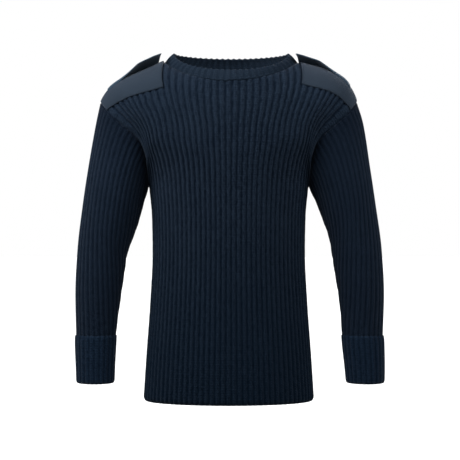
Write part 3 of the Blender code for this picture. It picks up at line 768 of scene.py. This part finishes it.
def sleeve_grid(side_name, loop):
    """Rows down the sleeve at the rib tops, and how many ribs each point stands from the underarm seam."""
    side = SIDES[side_name]
    outer_edge = column_curve(OUTER_EDGE, "height", side_name)
    inner_edge = column_curve(INNER_EDGE, "height", side_name)
    section = {name: column_curve(SLEEVE, "share", name) for name in ("front", "back", "ribs")}
    ribs_from_top = rib_places(SLEEVE_RIBS, closed=True) - SLEEVE_RIBS / 2
    length = run_along(loop)
    loop_turns = 2 * length / length[-1] - 1
    rows, from_seam = [], []
    for share in np.linspace(0, 1, SLEEVE_ROWS):
        outer = point_down(OUTER_EDGE, outer_edge, share)
        inner = point_down(INNER_EDGE, inner_edge, share)
        half_ribs = section["ribs"](share) / 2
        turn = np.clip(ribs_from_top / half_ribs, -1, 1)
        depths = section["front"](share), section["back"](share)
        ring = ellipse_ring(side, outer, inner, *depths, math.pi * turn)
        if share == 0:
            seam = np.stack([np.interp(turn, loop_turns, loop[:, k]) for k in range(3)], axis=-1)
            first_turn, from_ellipse = turn, seam - ring
        cap = max(0, 1 - share / CAP_SHARE) ** CAP_POWER
        swell = max(0, 1 - share / SWELL_SHARE) ** SWELL_POWER
        offset = np.stack([np.interp(turn, first_turn, from_ellipse[:, k]) for k in range(3)], axis=-1)
        rows.append(ring + offset * (cap, swell, cap))
        from_seam.append(np.maximum(0, half_ribs - np.abs(ribs_from_top)))
    return np.array(rows), np.array(from_seam)


def build_sleeve(side_name, loop, material):
    side = SIDES[side_name]
    points, from_seam = sleeve_grid(side_name, loop)
    share = np.linspace(0, 1, SLEEVE_ROWS)[:, None]
    by_seam = smooth_step(1 - from_seam / SEAM_BLEND_RIBS)
    by_top = np.tile(smooth_step(1 - share / SEAM_BLEND_SHARE), points.shape[1])
    at_seam = unit(points.mean(axis=1, keepdims=True) - points)
    inwards = turned_to(tube_inwards(points), at_seam, by_seam)
    centre = np.array(ARMHOLE_CENTRE) * (side, 1, 1)
    inwards = turned_to(inwards, unit(centre - points), by_top)
    across = rib_places(SLEEVE_RIBS, closed=True)
    down = RIB_DEPTH(across % 1)[None] * SLEEVE_RELIEF
    down = np.maximum(down, by_seam)
    on_shoulder = smooth_step(1 - np.abs(across - SLEEVE_RIBS / 2) / SHOULDER_RIBS)
    sunk = SEAM_SINK + (SHOULDER_SINK - SEAM_SINK) * on_shoulder
    down = down + (sunk - down) * by_top**2
    tuck = (0, 0, -CUFF_TUCK) * smooth_step(1 - (1 - share) / TUCK_SHARE)[..., None]
    stands_for = np.where(from_seam > 0, np.arange(len(across)), 0)
    name = f"sleeve_{side_name}_knit"
    return ribbed_wall(name, points + tuck, inwards, down, across, stands_for, material, closed=True)


def build_cuff(side_name, material):
    """The cuff hangs from its top row down, so the fold is at the hand."""
    side = SIDES[side_name]
    across = rib_places(CUFF_RIBS, closed=True)
    angles = math.pi * (2 * across / CUFF_RIBS - 1)
    outer_edge = column_curve(CUFF, "height", f"outer_{side_name}")
    inner_edge = column_curve(CUFF, "height", f"inner_{side_name}")
    above_hand = np.linspace(1, 0, CUFF_ROWS) ** ROLL_ROWS_POWER
    heights = CUFF[-1].height + (CUFF[0].height - CUFF[-1].height) * above_hand
    rows = []
    for height in heights:
        outer, inner = (outer_edge(height), height), (inner_edge(height), height)
        rows.append(ellipse_ring(side, outer, inner, CUFF_FRONT, CUFF_BACK, angles))
    points = np.array(rows)
    reliefs = (CUFF_RELIEF, CUFF_FOLD_RELIEF)
    inwards = tube_inwards(points)
    roll = rolled_in(heights, CUFF[-1].height, CUFF_ROLL, CUFF_ROLL_HEIGHT)
    points = points + inwards * roll[:, None, None]
    return folded_ring(f"cuff_{side_name}_knit", points, inwards, True, across, reliefs, material)


# --- neckband ---


def band_edges(face, angle):
    """The neck seam and the band's top edge at an angle from the wearer's left side."""
    middle = abs(math.sin(angle))
    x = NECK_SHIFT + NECK_HALF_WIDTH * math.cos(angle)
    depth = CHEST_DEPTH[face](1.0) * middle**NECK_ROUNDNESS
    seam = (x, face * depth, float(top_heights(face, np.array([x]))[0]))
    top_drop = BAND_FRONT_DROP if face == FRONT else BAND_BACK_DROP
    top_depth = BAND_FRONT if face == FRONT else BAND_BACK
    top = (
        NECK_SHIFT + BAND_HALF_WIDTH * math.cos(angle),
        face * top_depth * middle,
        BAND_TOP - top_drop * middle**BAND_ROUNDNESS,
    )
    return np.array(seam), np.array(top)


def build_collar(material):
    angles = np.linspace(0, 2 * math.pi, 2 * CURVE_STEPS + 1)
    edges = [band_edges(BACK if angle < math.pi else FRONT, angle) for angle in angles]
    seams = np.array([seam for seam, _ in edges])
    tops = np.array([top for _, top in edges])
    length = run_along(tops)
    across = rib_places(COLLAR_RIBS, closed=True)
    even = np.interp(across / COLLAR_RIBS * length[-1], length, angles)
    seam = np.stack([np.interp(even, angles, seams[:, k]) for k in range(3)], axis=-1)
    top = np.stack([np.interp(even, angles, tops[:, k]) for k in range(3)], axis=-1)
    at_seam = neck_inwards(seam[:, 0], np.where(even < math.pi, BACK, FRONT))
    rows = []
    for share in np.linspace(-BAND_OVERLAP, 1, BAND_ROWS):
        rows.append(seam + (top - seam) * share - at_seam * BAND_BULGE * math.sin(math.pi * max(0, share)))
    points = np.array(rows)
    points[..., 2] += BAND_LIFT * np.linspace(0, 1, BAND_ROWS)[:, None]
    by_seam = smooth_step(1 - np.arange(BAND_ROWS) / BAND_BLEND_ROWS)[:, None]
    inwards = turned_to(tube_inwards(points), at_seam[None], by_seam)
    reliefs = (COLLAR_RELIEF, COLLAR_FOLD_RELIEF)
    return folded_ring("collar_knit", points, inwards, False, across, reliefs, material)


# --- shoulder patches and straps ---


def panel_place(face, rises, ribs):
    """Points on the panel's rib tops, and outward directions, at some rises and ribs from the middle."""
    def at(rises, ribs):
        across = rib_spread(chest_shares(rises, ribs), CHEST_SPREAD(rises))
        return chest_points(face, rises, ribs, across)

    low, high = at(np.clip(rises - RISE_STEP, 0, 1), ribs), at(np.clip(rises + RISE_STEP, 0, 1), ribs)
    right, left = at(rises, ribs - RIB_STEP), at(rises, ribs + RIB_STEP)
    return at(rises, ribs), -unit(np.cross(left - right, high - low) * face)


def over_the_shoulder(rises, ribs):
    """A grid over the shoulder: its rows go from the front over the ridge (0) to the back.

    rises are the square roots of how far the rise is short of the ridge's, so that the rows are even.
    """
    middle = len(rises) // 2
    front = panel_place(FRONT, 1 - rises[:middle] ** 2, ribs)
    back = panel_place(BACK, 1 - rises[middle:] ** 2, ribs)
    points = np.concatenate([front[0], back[0]])
    outwards = np.concatenate([front[1], back[1]])
    outwards[middle] = unit(outwards[middle - 1] + outwards[middle + 1])
    points[middle, :, 1] = 0
    return points, outwards


def edge_distances(points):
    """How far each point of a grid lies from its border, along the sheet."""
    along, across = lengths_along(points), lengths_along(points.transpose(1, 0, 2)).T
    to_ends = np.minimum(along, along[-1:] - along)
    to_sides = np.minimum(across, across[:, -1:] - across)
    return np.minimum(to_ends, to_sides)


def sewn_height(distance, raise_by):
    """A turned-in edge: up from the cloth below, a dip along the stitches, and level beyond."""
    rounded = np.sqrt(np.clip(distance / EDGE_ROUND, 0, 1) * (2 - np.clip(distance / EDGE_ROUND, 0, 1)))
    dip = STITCH_DIP * np.exp(-(((distance - STITCH_INSET) / STITCH_DIP_WIDTH) ** 2))
    return raise_by * rounded - dip


def woven_sheet(name, points, outwards, base, raise_by, material):
    """A closed sheet of woven cloth with turned-in edges, its underside just below base off the points."""
    distance = edge_distances(points)
    top_points = points + outwards * (base + sewn_height(distance, raise_by))[..., None]
    shell = Shell()
    along = lengths_along(points)
    across = run_along(points[len(points) // 2])
    top = shell.add_points(top_points)
    under = shell.add_points(points + outwards * (base - UNDERSIDE_DROP))
    shell.add_grid(top, across, along)
    shell.add_grid(under, across, along, flip=True)
    rows, columns = top.shape
    border = [(0, j) for j in range(columns)] + [(i, columns - 1) for i in range(1, rows)]
    border += [(rows - 1, j) for j in range(columns - 2, -1, -1)] + [(i, 0) for i in range(rows - 2, 0, -1)]
    for (i, j), (k, m) in zip(border, border[1:] + border[:1]):
        first, second = (across[j], along[i, j]), (across[m], along[k, m])
        shell.add_face([(top[i, j], first), (under[i, j], first), (under[k, m], second), (top[k, m], second)])
    return new_object(name, shell.mesh(name), material), top_points


def spread(start, stop, count):
    """Places from start to stop, closer together at both ends."""
    t = (1 - np.cos(np.linspace(0, math.pi, count))) / 2
    t = EDGE_CROWDING * t + (1 - EDGE_CROWDING) * np.linspace(0, 1, count)
    return start + (stop - start) * t


def build_patch(side_name, material, thread):
    span = PATCHES[side_name]
    from_middle = spread(span.inner_rib, PATCH_OUTER_RIB, PATCH_COLUMNS)
    lower_edge = column_curve(PATCH_EDGE, "rib", side_name)(from_middle)
    reach = np.sqrt(1 - lower_edge)
    places = np.abs(spread(-1, 1, PATCH_ROWS + 1))
    points, outwards = over_the_shoulder(places[:, None] * reach[None], span.side * from_middle)
    cloth, top = woven_sheet(f"patch_{side_name}_cloth", points, outwards, SEAM_GAP, PATCH_RAISE, material)
    return cloth, build_stitches(f"patch_{side_name}_stitches", top, outwards, thread)


def build_strap(side_name, material, thread):
    side = SIDES[side_name]
    ribs = np.linspace(STRAP[0].rib, STRAP[-1].rib, STRAP_COLUMNS)
    lifts = column_curve(STRAP, "rib", f"{side_name}_lift")(ribs)
    places = spread(-1, 1, STRAP_ROWS + 1)
    reach = math.sqrt(1 - STRAP_RISE)
    rises = np.tile(np.abs(places)[:, None] * reach, (1, STRAP_COLUMNS))
    points, outwards = over_the_shoulder(rises, side * ribs)
    points[..., 2] += lifts[None] * (1 - places[:, None]) / 2
    by_tip = smooth_step(1 - (ribs - STRAP[0].rib))
    points[..., 0] += side * STRAP_END_SKEW * places[:, None] * by_tip[None]
    base = SEAM_GAP + PATCH_RAISE + STRAP_CLEARANCE
    cloth, top = woven_sheet(f"strap_{side_name}_cloth", points, outwards, base, PATCH_RAISE, material)
    return cloth, build_stitches(f"strap_{side_name}_stitches", top, outwards, thread)


def sewing_lines(points, outwards):
    """Starts and ends of the stitches along a sheet's four edges, each with the outward way there."""
    grid = np.concatenate([points, outwards], axis=-1)
    for edge in (grid, grid[::-1], grid.transpose(1, 0, 2), grid.transpose(1, 0, 2)[::-1]):
        lengths = lengths_along(edge[..., :3])
        columns = range(edge.shape[1])
        line = [[np.interp(STITCH_INSET, lengths[:, j], edge[:, j, k]) for k in range(6)] for j in columns]
        line = np.array(line)
        run = run_along(line[:, :3])
        places = np.arange(STITCH_INSET, run[-1] - STITCH_INSET, STITCH_PITCH)
        yield tuple(
            np.stack([np.interp(at, run, line[:, k]) for k in range(6)], axis=-1)
            for at in (places, places + STITCH_LENGTH)
        )


def add_stitch(shell, start, end, outward):
    """One stitch: a short round thread, closed at both ends."""
    forward = unit(end - start)
    sideways = unit(np.cross(forward, outward))
    upward = np.cross(sideways, forward)
    turns = 2 * math.pi * np.arange(STITCH_SIDES) / STITCH_SIDES
    round_it = np.cos(turns)[:, None] * sideways + np.sin(turns)[:, None] * upward
    rings = np.array(STITCH_RINGS)
    centres = start + (end - start) * rings[:, :1]
    points = centres[:, None] + round_it * STITCH_RADIUS * rings[:, 1:, None]
    numbers = shell.add_points(points)
    along = lengths_along(points)
    across = STITCH_RADIUS * np.append(turns, 2 * math.pi)
    shell.add_grid(numbers, across, along, closed=True)
    for i in (0, -1):
        shell.add_face([(number, (across[k], along[i, k])) for k, number in enumerate(numbers[i])])


def build_stitches(name, sheet_top, outwards, material):
    shell = Shell()
    for starts, ends in sewing_lines(sheet_top, outwards):
        for start, end in zip(starts, ends):
            add_stitch(shell, start[:3], end[:3], unit(start[3:]))
    return new_object(name, shell.mesh(name), material)


# --- materials ---


def node_maker(material):
    tree = material.node_tree

    def make(kind, **settings):
        node = tree.nodes.new(kind)
        for name, value in settings.items():
            setattr(node, name, value)
        return node

    def math_node(operation, first, second=0.0, clamp=False):
        node = make("ShaderNodeMath", operation=operation, use_clamp=clamp)
        for socket, value in zip(node.inputs, (first, second)):
            if isinstance(value, (int, float)):
                socket.default_value = value
            else:
                tree.links.new(value, socket)
        return node.outputs[0]

    return tree, make, math_node


def noise(tree, make, pattern):
    """A noise that stays in its place on the piece."""
    node = make("ShaderNodeTexNoise")
    node.inputs["Scale"].default_value = pattern.scale
    node.inputs["Detail"].default_value = pattern.detail
    tree.links.new(make("ShaderNodeTexCoord").outputs["Object"], node.inputs["Vector"])
    return node.outputs["Fac"]


def place_in_knit(tree, make):
    """The two values of the UV map: ribs or metres across, and metres along."""
    parts = make("ShaderNodeSeparateXYZ")
    tree.links.new(make("ShaderNodeUVMap", uv_map="Knit").outputs["UV"], parts.inputs[0])
    return parts.outputs["X"], parts.outputs["Y"]


def smooth_range(tree, make, value, start, end, low=0.0, high=1.0):
    """Goes smoothly from low to high while a value goes from start to end."""
    node = make("ShaderNodeMapRange", interpolation_type="SMOOTHSTEP")
    tree.links.new(value, node.inputs["Value"])
    for name, setting in zip(("From Min", "From Max", "To Min", "To Max"), (start, end, low, high)):
        node.inputs[name].default_value = setting
    return node.outputs["Result"]


def add_bump(tree, make, shader, height, bump):
    node = make("ShaderNodeBump")
    node.inputs["Strength"].default_value = bump.strength
    node.inputs["Distance"].default_value = bump.height
    tree.links.new(height, node.inputs["Height"])
    tree.links.new(node.outputs["Normal"], shader.inputs["Normal"])


def mix_sockets(node):
    """The colour sockets of a Mix node, which has one set for each kind of value."""
    return [s for s in node.inputs if s.type == "RGBA"], [s for s in node.outputs if s.type == "RGBA"][0]


def base_material(name, roughness, sheen, sheen_tint):
    material = bpy.data.materials.new(name)
    material.use_nodes = True
    shader = material.node_tree.nodes["Principled BSDF"]
    shader.inputs["Roughness"].default_value = roughness
    shader.inputs["Specular IOR Level"].default_value = GLOSS
    shader.inputs["Sheen Weight"].default_value = sheen
    shader.inputs["Sheen Roughness"].default_value = SHEEN_ROUGHNESS
    shader.inputs["Sheen Tint"].default_value = (*sheen_tint, 1.0)
    return material, shader


def blend_colours(tree, make, share, first, second):
    node = make("ShaderNodeMix", data_type="RGBA")
    (a, b), result = mix_sockets(node)
    tree.links.new(share, node.inputs[0])
    for socket, value in ((a, first), (b, second)):
        if isinstance(value, tuple):
            socket.default_value = (*value, 1.0)
        else:
            tree.links.new(value, socket)
    return result


def with_painted_shade(tree, make, colour, along, painted_shade):
    """A colour with painted shade near the knit's first row, fading out along it."""
    unshaded = smooth_range(tree, make, along, 0.0, painted_shade.length, painted_shade.worn_share)
    return blend_colours(tree, make, unshaded, painted_shade.colour, colour)


def knit_material(name, ridge, valley, painted_shade=None):
    """Rib knit: two columns of V stitches on each ridge and small bars in the valley between. The valleys are
    coloured darker: painted shade.
    """
    material, shader = base_material(name, KNIT_ROUGHNESS, KNIT_SHEEN, KNIT_SHEEN_TINT)
    tree, make, calc = node_maker(material)
    ribs, along = place_in_knit(tree, make)
    grain, blotches, fuzz = (noise(tree, make, pattern) for pattern in (KNIT_GRAIN, KNIT_BLOTCHES, KNIT_FUZZ))

    from_top = calc("ABSOLUTE", calc("MULTIPLY", calc("SUBTRACT", calc("FRACT", ribs), 0.5), 2.0))
    on_ridge = calc("SUBTRACT", 1.0, calc("POWER", from_top, RIDGE_POWER))
    wale = calc("ABSOLUTE", calc("SUBTRACT", calc("MULTIPLY", from_top, WALES_TO_A_RIB), 1.0))
    wale = calc("MINIMUM", wale, 1.0)
    courses = calc("ADD", calc("DIVIDE", along, STITCH_COURSE), calc("MULTIPLY", wale, LEG_SLANT))
    phase = calc("MULTIPLY", calc("ADD", courses, calc("MULTIPLY", grain, LEG_WAVER)), 2 * math.pi)
    legs = calc("ADD", 0.5, calc("MULTIPLY", calc("COSINE", phase), 0.5))
    rounded = calc("SUBTRACT", 1.0, calc("POWER", wale, LEG_POWER))
    leg_height = calc("ADD", LEG_LOW, calc("MULTIPLY", legs, 1 - LEG_LOW))
    wale_height = calc("ADD", WALE_SIDE, calc("MULTIPLY", rounded, 1 - WALE_SIDE))
    stitches = calc("MULTIPLY", leg_height, wale_height)

    # Painted shade: off the ridge the colour runs into the valley colour
    shade = calc("MULTIPLY", on_ridge, calc("ADD", RIDGE_SHADE, calc("MULTIPLY", stitches, STITCH_SHADE)))
    shade = calc("ADD", shade, calc("MULTIPLY", calc("SUBTRACT", grain, 0.5), KNIT_GRAIN.amount))
    shade = calc("ADD", shade, calc("MULTIPLY", calc("SUBTRACT", blotches, 0.5), KNIT_BLOTCHES.amount))
    shade = calc("ADD", shade, calc("MULTIPLY", calc("SUBTRACT", fuzz, 0.5), KNIT_FUZZ.amount), clamp=True)
    colour = blend_colours(tree, make, shade, valley, ridge)
    # Painted shade near the first row, for the pieces that have it: by the hem and in the armpit's fold
    if painted_shade:
        colour = with_painted_shade(tree, make, colour, along, painted_shade)
    tree.links.new(colour, shader.inputs["Base Color"])
    add_bump(tree, make, shader, calc("ADD", stitches, calc("MULTIPLY", fuzz, KNIT_BUMP.fuzz)), KNIT_BUMP)
    return material


def cloth_material(name, light, dark):
    """Woven twill: fine slanting lines over a faint grid of threads."""
    material, shader = base_material(name, CLOTH_ROUGHNESS, CLOTH_SHEEN, CLOTH_SHEEN_TINT)
    tree, make, calc = node_maker(material)
    across, along = place_in_knit(tree, make)
    grain, fuzz = (noise(tree, make, pattern) for pattern in (CLOTH_GRAIN, CLOTH_FUZZ))
    slanting = calc("ADD", across, calc("MULTIPLY", along, TWILL_SLOPE))
    lines = calc("SINE", calc("MULTIPLY", slanting, 2 * math.pi / TWILL_PITCH))
    twill = calc("ADD", 0.5, calc("MULTIPLY", lines, 0.5))
    threads = calc("ABSOLUTE", calc("SINE", calc("MULTIPLY", along, math.pi / THREAD_PITCH)))
    weave = calc("ADD", calc("MULTIPLY", twill, TWILL_SHARE), calc("MULTIPLY", threads, 1 - TWILL_SHARE))
    shade = calc("ADD", calc("MULTIPLY", weave, WEAVE_SHADE), calc("MULTIPLY", grain, CLOTH_GRAIN.amount))
    shade = calc("ADD", shade, calc("MULTIPLY", calc("SUBTRACT", fuzz, 0.5), CLOTH_FUZZ.amount), clamp=True)
    tree.links.new(blend_colours(tree, make, shade, dark, light), shader.inputs["Base Color"])
    add_bump(tree, make, shader, calc("ADD", weave, calc("MULTIPLY", fuzz, CLOTH_BUMP.fuzz)), CLOTH_BUMP)
    return material


# --- stage, light and camera ---


def build_stage():
    """A pale floor with a painted shadow under the sweater: a dim grey disc, which also lets little light
    come back up from it.
    """
    mesh = bpy.data.meshes.new("floor")
    signs = ((-1, -1), (1, -1), (1, 1), (-1, 1))
    corners = [(x * FLOOR_HALF_SIZE, y * FLOOR_HALF_SIZE, FLOOR_HEIGHT) for x, y in signs]
    mesh.from_pydata(corners, [], [(0, 1, 2, 3)])
    material = bpy.data.materials.new("Pale floor")
    material.use_nodes = True
    shader = material.node_tree.nodes["Principled BSDF"]
    shader.inputs["Roughness"].default_value = FLOOR_ROUGHNESS
    shader.inputs["Emission Color"].default_value = (1.0, 1.0, 1.0, 1.0)
    tree, make, calc = node_maker(material)
    parts = make("ShaderNodeSeparateXYZ")
    tree.links.new(make("ShaderNodeTexCoord").outputs["Object"], parts.inputs[0])
    x_squared, y_squared = calc("POWER", parts.outputs["X"], 2.0), calc("POWER", parts.outputs["Y"], 2.0)
    distance = calc("SQRT", calc("ADD", x_squared, y_squared))
    away = smooth_range(tree, make, distance, FLOOR_NEAR, FLOOR_FAR)
    # Painted shadow: the floor is grey near the sweater and pale further off
    painted_shadow, pale = (FLOOR_PAINTED_SHADOW,) * 3, (FLOOR_PALE,) * 3
    tree.links.new(blend_colours(tree, make, away, painted_shadow, pale), shader.inputs["Base Color"])
    tree.links.new(calc("MULTIPLY", away, FLOOR_GLOW), shader.inputs["Emission Strength"])
    new_object("floor", mesh, material)


def build_lights():
    world = bpy.data.worlds.new("Studio")
    world.use_nodes = True
    background = world.node_tree.nodes["Background"]
    background.inputs["Color"].default_value = (1.0, 1.0, 1.0, 1.0)
    tree, make, _ = node_maker(world)
    parts = make("ShaderNodeSeparateXYZ")
    tree.links.new(make("ShaderNodeTexCoord").outputs["Generated"], parts.inputs[0])
    settings = (WORLD_FRONT_FROM, WORLD_ROUND_FROM, WORLD_FRONT, WORLD_ROUND)
    strength = smooth_range(tree, make, parts.outputs["Y"], *settings)
    tree.links.new(strength, background.inputs["Strength"])
    bpy.context.scene.world = world
    for row in LIGHTS:
        light = bpy.data.lights.new(row.name, "AREA")
        light.size, light.energy = row.size, row.power
        obj = bpy.data.objects.new(row.name, light)
        obj.location = row.position
        direction = Vector(row.target) - Vector(row.position)
        obj.rotation_euler = direction.to_track_quat("-Z", "Y").to_euler()
        bpy.context.scene.collection.objects.link(obj)


def build_camera():
    camera = bpy.data.cameras.new("camera")
    camera.sensor_width = CAMERA_SENSOR
    camera.lens = CAMERA_SENSOR * -CAMERA_PLACE[1] / FRAME_WIDTH
    obj = bpy.data.objects.new("camera", camera)
    obj.location = CAMERA_PLACE
    obj.rotation_euler = (math.pi / 2, 0, 0)
    bpy.context.scene.collection.objects.link(obj)
    bpy.context.scene.camera = obj
    bpy.context.scene.view_settings.view_transform = "Standard"


def place(piece, node, slot):
    """Puts a piece in its solid's place, on the one body."""
    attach(piece, "root")
    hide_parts(node)


def place_sewn(piece, stitches, node, slot):
    place(piece, node, slot)
    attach(stitches, "root")


def build_sweater():
    levels, from_seam, panels, loops = panel_grids()
    # The body's and sleeves' knits carry painted shade near their first rows, and every knit's valley colour
    # is painted shade
    body_knit = knit_material("Body knit", KNIT_RIDGE, KNIT_SHADED_VALLEY, HEM_PAINTED_SHADE)
    # The sleeve knit darkens down from the armhole: painted shade in the armpit's fold
    sleeve_knit = knit_material("Sleeve knit", SLEEVE_RIDGE, SLEEVE_SHADED_VALLEY, ARMHOLE_PAINTED_SHADE)
    cuff_knit = knit_material("Cuff knit", CUFF_RIDGE, CUFF_SHADED_VALLEY)
    # The collar's knit is lighter: painted light on the band's shaded inside
    collar_knit = knit_material("Collar knit", LIGHTENED_COLLAR_RIDGE, LIGHTENED_COLLAR_SHADED_VALLEY)
    patch_cloth = cloth_material("Patch cloth", PATCH_LIGHT, PATCH_DARK)
    # The strap's cloth is lighter than the patch's: painted light on its shaded underside
    strap_cloth = cloth_material("Lightened strap cloth", LIGHTENED_STRAP_LIGHT, LIGHTENED_STRAP_DARK)
    thread = cloth_material("Sewing thread", THREAD_LIGHT, THREAD_DARK)

    for face, node in ((FRONT, "front"), (BACK, "back")):
        panel = build_panel(face, levels, from_seam, panels[face], body_knit)
        place(panel, node, "rib_knit")
    collar = build_collar(collar_knit)
    place(collar, "collar", "collar_knit")
    for side_name, loop in loops.items():
        sleeve = build_sleeve(side_name, loop, sleeve_knit)
        place(sleeve, f"sleeve_{side_name}", "sleeve_knit")
        cuff = build_cuff(side_name, cuff_knit)
        place(cuff, f"cuff_{side_name}", "cuff_knit")
        patch, patch_stitches = build_patch(side_name, patch_cloth, thread)
        place_sewn(patch, patch_stitches, f"shoulder_patch_{side_name}", "patch_cloth")
        strap, strap_stitches = build_strap(side_name, strap_cloth, thread)
        place_sewn(strap, strap_stitches, f"epaulette_{side_name}", "strap_cloth")


def main():
    for obj in list(bpy.data.objects):
        bpy.data.objects.remove(obj, do_unlink=True)
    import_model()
    build_sweater()
    build_stage()
    build_lights()
    build_camera()


main()
